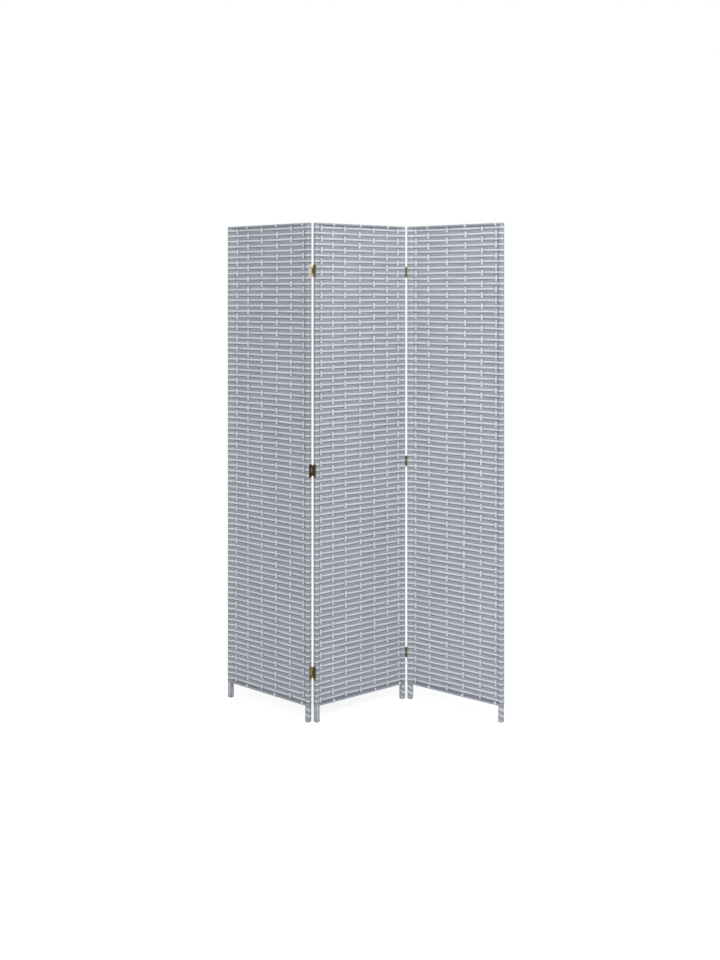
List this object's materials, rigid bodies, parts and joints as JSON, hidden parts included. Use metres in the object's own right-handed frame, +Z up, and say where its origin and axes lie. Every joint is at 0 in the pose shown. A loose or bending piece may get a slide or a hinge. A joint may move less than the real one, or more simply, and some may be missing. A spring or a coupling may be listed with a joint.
{
  "type": "folding screen",
  "caption": "Free-standing folding room divider of woven cord panels on slim wooden frames, joined by double action hinges.",
  "frame": {"origin": "on the floor, under the centre of the outline of the screen as it stands in its zigzag", "axes": "+Z up, -Y towards the viewer of the front, +X to the viewer's right, from panel 1 to panel 3"},
  "size_m": [1.0276, 0.258, 1.8],
  "materials": {
    "woven_cord": "matte twisted paper cord in pale and mid grey strands",
    "binding_cord": "matte twisted paper cord, wound",
    "stake_wood": "pale grey, matte",
    "frame_wood": "plain grey stain, matte",
    "hinge_metal": "aged dark bronze, satin",
    "screw_metal": "aged dark bronze, satin",
    "nail_steel": "bright drawn wire"
  },
  "bodies": {
    "panel_1": {"left_bottom_hinge_outer_leaf": "hinge_metal", "left_middle_hinge_outer_leaf": "hinge_metal", "left_top_hinge_outer_leaf": "hinge_metal", "panel_1_bottom_binding": "binding_cord", "panel_1_bottom_rail": "frame_wood", "panel_1_hinge_screws": "screw_metal", "panel_1_left_leg_wrap": "binding_cord", "panel_1_left_stile": "frame_wood", "panel_1_rail_nails": "nail_steel", "panel_1_right_leg_wrap": "binding_cord", "panel_1_right_stile": "frame_wood", "panel_1_stakes": "stake_wood", "panel_1_top_binding": "binding_cord", "panel_1_top_rail": "frame_wood", "panel_1_weave": "woven_cord"},
    "left_hinge_links": {"left_bottom_hinge_link": "hinge_metal", "left_hinge_pins": "hinge_metal", "left_middle_hinge_link": "hinge_metal", "left_top_hinge_link": "hinge_metal"},
    "panel_2": {"left_bottom_hinge_inner_leaf": "hinge_metal", "left_middle_hinge_inner_leaf": "hinge_metal", "left_top_hinge_inner_leaf": "hinge_metal", "panel_2_bottom_binding": "binding_cord", "panel_2_bottom_rail": "frame_wood", "panel_2_left_hinge_screws": "screw_metal", "panel_2_left_leg_wrap": "binding_cord", "panel_2_left_stile": "frame_wood", "panel_2_rail_nails": "nail_steel", "panel_2_right_hinge_screws": "screw_metal", "panel_2_right_leg_wrap": "binding_cord", "panel_2_right_stile": "frame_wood", "panel_2_stakes": "stake_wood", "panel_2_top_binding": "binding_cord", "panel_2_top_rail": "frame_wood", "panel_2_weave": "woven_cord", "right_bottom_hinge_inner_leaf": "hinge_metal", "right_middle_hinge_inner_leaf": "hinge_metal", "right_top_hinge_inner_leaf": "hinge_metal"},
    "right_hinge_links": {"right_bottom_hinge_link": "hinge_metal", "right_hinge_pins": "hinge_metal", "right_middle_hinge_link": "hinge_metal", "right_top_hinge_link": "hinge_metal"},
    "panel_3": {"panel_3_bottom_binding": "binding_cord", "panel_3_bottom_rail": "frame_wood", "panel_3_hinge_screws": "screw_metal", "panel_3_left_leg_wrap": "binding_cord", "panel_3_left_stile": "frame_wood", "panel_3_rail_nails": "nail_steel", "panel_3_right_leg_wrap": "binding_cord", "panel_3_right_stile": "frame_wood", "panel_3_stakes": "stake_wood", "panel_3_top_binding": "binding_cord", "panel_3_top_rail": "frame_wood", "panel_3_weave": "woven_cord", "right_bottom_hinge_outer_leaf": "hinge_metal", "right_middle_hinge_outer_leaf": "hinge_metal", "right_top_hinge_outer_leaf": "hinge_metal"}
  },
  "joints": [
    {"name": "left_back_fold", "type": "hinge", "parent": "left_hinge_links", "child": "panel_1", "pos_m": [-0.17871, -0.10954, 0.9], "axis": [0, 0, 1], "range_deg": [-109.5, 70.5]},
    {"name": "left_front_fold", "type": "hinge", "parent": "panel_2", "child": "left_hinge_links", "pos_m": [-0.16736, -0.12637, 0.9], "axis": [0, 0, 1], "range_deg": [0, 90]},
    {"name": "right_front_fold", "type": "hinge", "parent": "right_hinge_links", "child": "panel_3", "pos_m": [0.16923, 0.10066, 0.9], "axis": [0, 0, 1], "range_deg": [-112, 68]},
    {"name": "right_back_fold", "type": "hinge", "parent": "panel_2", "child": "right_hinge_links", "pos_m": [0.15788, 0.11749, 0.9], "axis": [0, 0, 1], "range_deg": [0, 90]}
  ]
}
